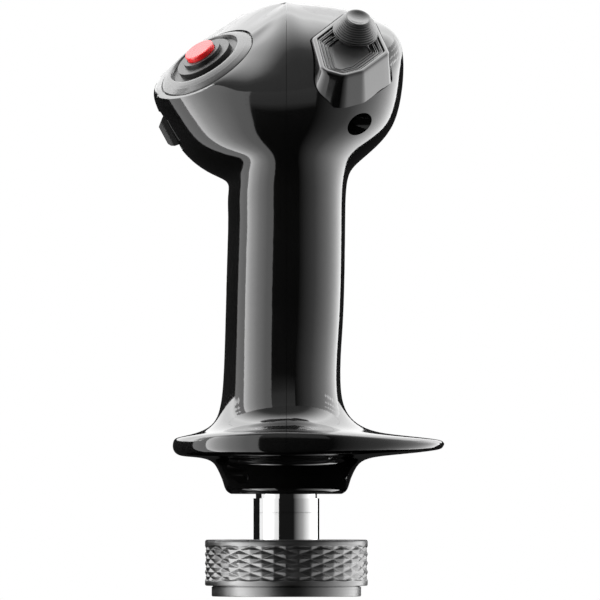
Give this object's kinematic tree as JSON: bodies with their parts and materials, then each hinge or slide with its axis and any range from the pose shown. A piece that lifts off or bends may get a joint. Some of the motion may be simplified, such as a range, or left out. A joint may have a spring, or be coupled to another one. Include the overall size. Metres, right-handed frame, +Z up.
{
  "type": "flight joystick grip",
  "caption": "Flight joystick grip: glossy split moulded shells with a hand rest, a push button, a hat switch and a trigger, on a steel tube with a knurled clamping ring nut.",
  "frame": {"origin": "on the mounting tube's axis, in the bottom face of the ring nut", "axes": "+Z up along the tube, +X to the pilot's right, +Y forward, away from the pilot"},
  "size_m": [0.1046, 0.083, 0.2138],
  "materials": {
    "gloss_black": "piano black",
    "tube_steel": "polished",
    "foot_aluminium": "turned",
    "screw_steel": "satin",
    "dark_plastic": "moulded",
    "contact_brass": "satin",
    "ring_aluminium": "dark anodised satin",
    "seal_rubber": "matte",
    "satin_grey": "satin",
    "matte_black": "fine matte",
    "satin_black": "satin",
    "button_red": "polished",
    "spring_steel": "bright",
    "board_green": "solder mask",
    "cable_black": "matte"
  },
  "bodies": {
    "grip": {"right_shell": "gloss_black", "left_shell": "gloss_black", "mount_tube": "tube_steel", "tube_foot": "foot_aluminium", "foot_key_pin": "screw_steel", "connector_socket": "dark_plastic", "connector_pins": "contact_brass", "tube_cross_pin": "screw_steel", "shell_screws": "screw_steel", "collar_screws": "screw_steel", "threaded_inserts": "contact_brass", "button_bezel": "satin_grey", "button_collar": "matte_black", "button_nut": "dark_plastic", "button_spring": "spring_steel", "button_switch": "dark_plastic", "button_board": "board_green", "hat_bezel": "gloss_black", "hat_dish": "matte_black", "hat_base": "dark_plastic", "hat_spring": "spring_steel", "hat_screws": "screw_steel", "trigger_housing": "gloss_black", "trigger_pin": "screw_steel", "trigger_spring": "spring_steel", "trigger_microswitch": "dark_plastic", "control_board": "board_green", "board_screws": "screw_steel", "wiring_loom": "cable_black"},
    "ring_nut": {"ring_nut": "ring_aluminium"},
    "o_ring": {"ring_o_ring": "seal_rubber"},
    "red_button": {"red_button": "button_red", "button_clip": "screw_steel"},
    "hat_cap": {"hat_cap": "matte_black"},
    "hat_stem": {"hat_stem": "screw_steel"},
    "hat_gimbal": {"hat_gimbal": "dark_plastic"},
    "trigger": {"trigger": "satin_black"}
  },
  "joints": [
    {"name": "button_press", "type": "slide", "parent": "grip", "child": "red_button", "axis": [0.4908, 0.3856, -0.7813], "range_m": [0, 0.0015], "stiffness_N_per_m": 600, "springref_m": -0.001, "deforming": ["button_spring"]},
    {"name": "hat_tilt_side", "type": "hinge", "parent": "grip", "child": "hat_gimbal", "pos_m": [0.02311, -0.00776, 0.19524], "axis": [0.9682, 0.25, 0.0001], "range_deg": [-4.5, 4.5], "stiffness_Nm_per_rad": 0.15, "deforming": ["hat_spring"]},
    {"name": "hat_tilt_fore", "type": "hinge", "parent": "hat_gimbal", "child": "hat_stem", "pos_m": [0.02311, -0.00776, 0.19524], "axis": [-0.1921, 0.7437, 0.6404], "range_deg": [-4.5, 4.5], "stiffness_Nm_per_rad": 0.15},
    {"name": "hat_press", "type": "slide", "parent": "hat_stem", "child": "hat_cap", "axis": [-0.16, 0.6201, -0.7681], "range_m": [0, 0.00025], "stiffness_N_per_m": 800, "springref_m": -0.001},
    {"name": "trigger_pull", "type": "hinge", "parent": "grip", "child": "trigger", "pos_m": [-0.03977, 0.003, 0.17352], "axis": [0, -1, 0], "range_deg": [0, 7], "stiffness_Nm_per_rad": 0.12, "springref_deg": -11.46, "deforming": ["trigger_spring"]},
    {"name": "ring_slide", "type": "slide", "parent": "grip", "child": "o_ring", "axis": [0, 0, 1], "range_m": [0, 0.0155]},
    {"name": "ring_spin", "type": "hinge", "parent": "o_ring", "child": "ring_nut", "pos_m": [0, 0, 0.01], "axis": [0, 0, 1], "continuous": true}
  ]
}
